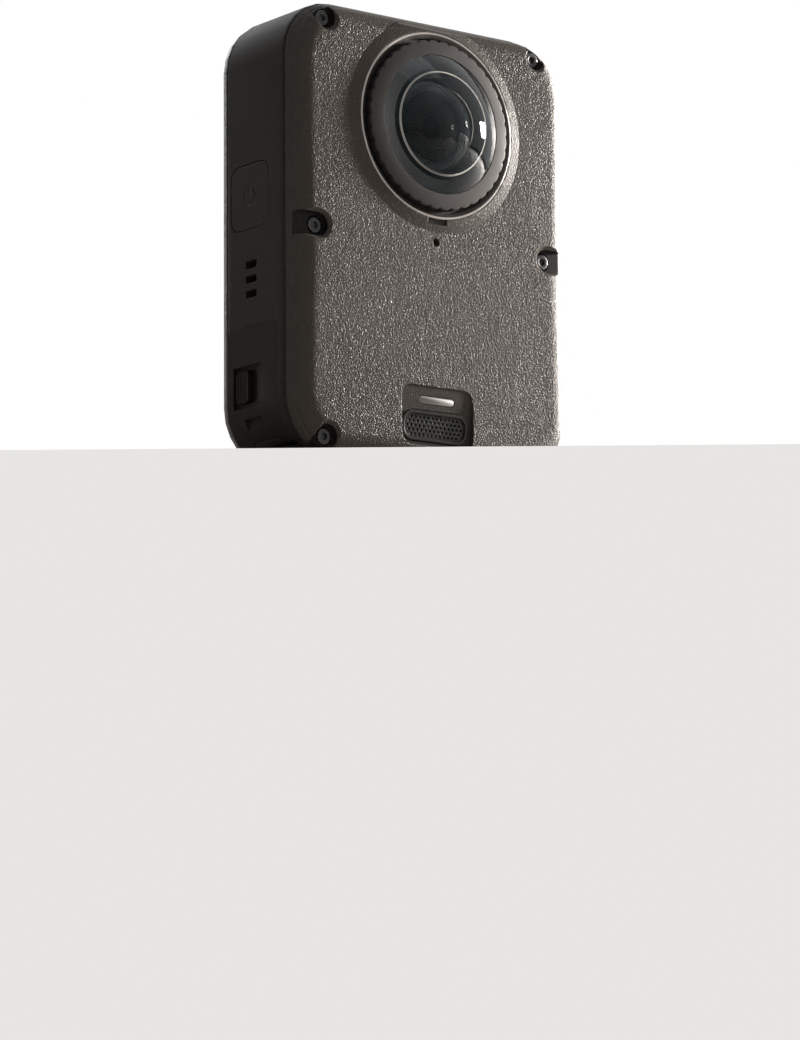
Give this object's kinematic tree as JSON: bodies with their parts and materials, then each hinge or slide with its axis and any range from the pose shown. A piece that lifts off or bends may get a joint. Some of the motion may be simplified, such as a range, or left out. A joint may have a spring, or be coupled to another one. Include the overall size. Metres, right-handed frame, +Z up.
{
  "type": "360 degree camera",
  "caption": "Pocket 360 degree camera with a fisheye lens module on each face, a rear touch screen, side power button, latched battery door and port door.",
  "frame": {"origin": "middle of the base that it stands on", "axes": "-Y out of the front face, +Z up, -X the side with the power button and battery door"},
  "size_m": [0.061, 0.0362, 0.081],
  "materials": {
    "frame": "satin, fine even texture",
    "cover": "soft leathery grain",
    "gasket": "matte",
    "screw": "blackened steel",
    "bezel": "turned, with a polished edge",
    "ring": "satin black anodised",
    "dome": "polished, with a dark coating",
    "glass": "polished and coated",
    "barrel": "dead black",
    "stop": "blackened",
    "sensor": "coated silicon under glass",
    "board": "green solder mask",
    "metal": "satin sheet",
    "copper": "bare copper sheet",
    "battery": "wrapped cell",
    "bay": "moulded",
    "door": "satin",
    "seal": "matte silicone",
    "pin": "bright",
    "button": "satin with a cut symbol",
    "card": "bare",
    "screen": "gloss black glass",
    "grille": "gloss black",
    "light": "frosted light pipe",
    "insert": "nickel plated"
  },
  "bodies": {
    "camera_body": {"battery": "battery", "battery_bay": "bay", "battery_contacts": "copper", "battery_door_pin": "pin", "card_socket": "metal", "display_panel": "sensor", "front_aperture_stop": "stop", "front_cover": "cover", "front_cover_screws": "screw", "front_dome_lens": "dome", "front_gasket": "gasket", "front_image_sensor": "sensor", "front_inner_lens_group": "glass", "front_lens_barrel": "barrel", "front_lens_bezel": "bezel", "front_lens_retaining_ring": "ring", "front_microphone": "metal", "front_second_lens": "glass", "front_sensor_board": "board", "heat_spreader": "copper", "io_board": "board", "lens_bracket": "metal", "main_board": "board", "mid_frame": "frame", "port_door_pin": "pin", "power_key_switch": "board", "processor_shield": "metal", "quick_key_switch": "board", "rear_aperture_stop": "stop", "rear_cover": "cover", "rear_cover_screws": "screw", "rear_dome_lens": "dome", "rear_gasket": "gasket", "rear_image_sensor": "sensor", "rear_inner_lens_group": "glass", "rear_lens_barrel": "barrel", "rear_lens_bezel": "bezel", "rear_lens_retaining_ring": "ring", "rear_second_lens": "glass", "rear_sensor_board": "board", "record_key_switch": "board", "speaker": "bay", "speaker_grille": "grille", "status_light": "light", "touch_glass": "screen", "tripod_insert": "insert", "usb_socket": "metal", "vent_membrane": "seal"},
    "power_button": {"power_button": "button"},
    "quick_switch_button": {"quick_switch_button": "button"},
    "record_button": {"record_button": "button"},
    "battery_door": {"battery_door": "door", "battery_door_plate": "metal", "battery_door_seal": "seal"},
    "battery_latch": {"battery_latch": "button"},
    "port_door": {"port_door": "door", "port_door_seal": "seal"},
    "memory_card": {"memory_card": "card"}
  },
  "joints": [
    {"name": "power_button_press", "type": "slide", "parent": "camera_body", "child": "power_button", "axis": [1, 0, 0], "range_m": [0, 0.00035], "stiffness_N_per_m": 1500, "springref_m": -0.0004},
    {"name": "quick_switch_press", "type": "slide", "parent": "camera_body", "child": "quick_switch_button", "axis": [-1, 0, 0], "range_m": [0, 0.00035], "stiffness_N_per_m": 1500, "springref_m": -0.0004},
    {"name": "record_button_press", "type": "slide", "parent": "camera_body", "child": "record_button", "axis": [0, -1, 0], "range_m": [0, 0.00035], "stiffness_N_per_m": 1500, "springref_m": -0.0004},
    {"name": "battery_door_hinge", "type": "hinge", "parent": "camera_body", "child": "battery_door", "pos_m": [-0.02657, 0.001, 0.00393], "axis": [0, -1, 0], "range_deg": [0, 90]},
    {"name": "battery_latch_slide", "type": "slide", "parent": "battery_door", "child": "battery_latch", "axis": [0, -1, 0], "range_m": [0, 0.0018], "stiffness_N_per_m": 300, "springref_m": -0.0006},
    {"name": "port_door_hinge", "type": "hinge", "parent": "camera_body", "child": "port_door", "pos_m": [0.0293, 0.0014, 0.0126], "axis": [0, 1, 0], "range_deg": [0, 100]},
    {"name": "memory_card_slide", "type": "slide", "parent": "camera_body", "child": "memory_card", "axis": [-1, 0, 0], "range_m": [-0.0006, 0.003]}
  ]
}
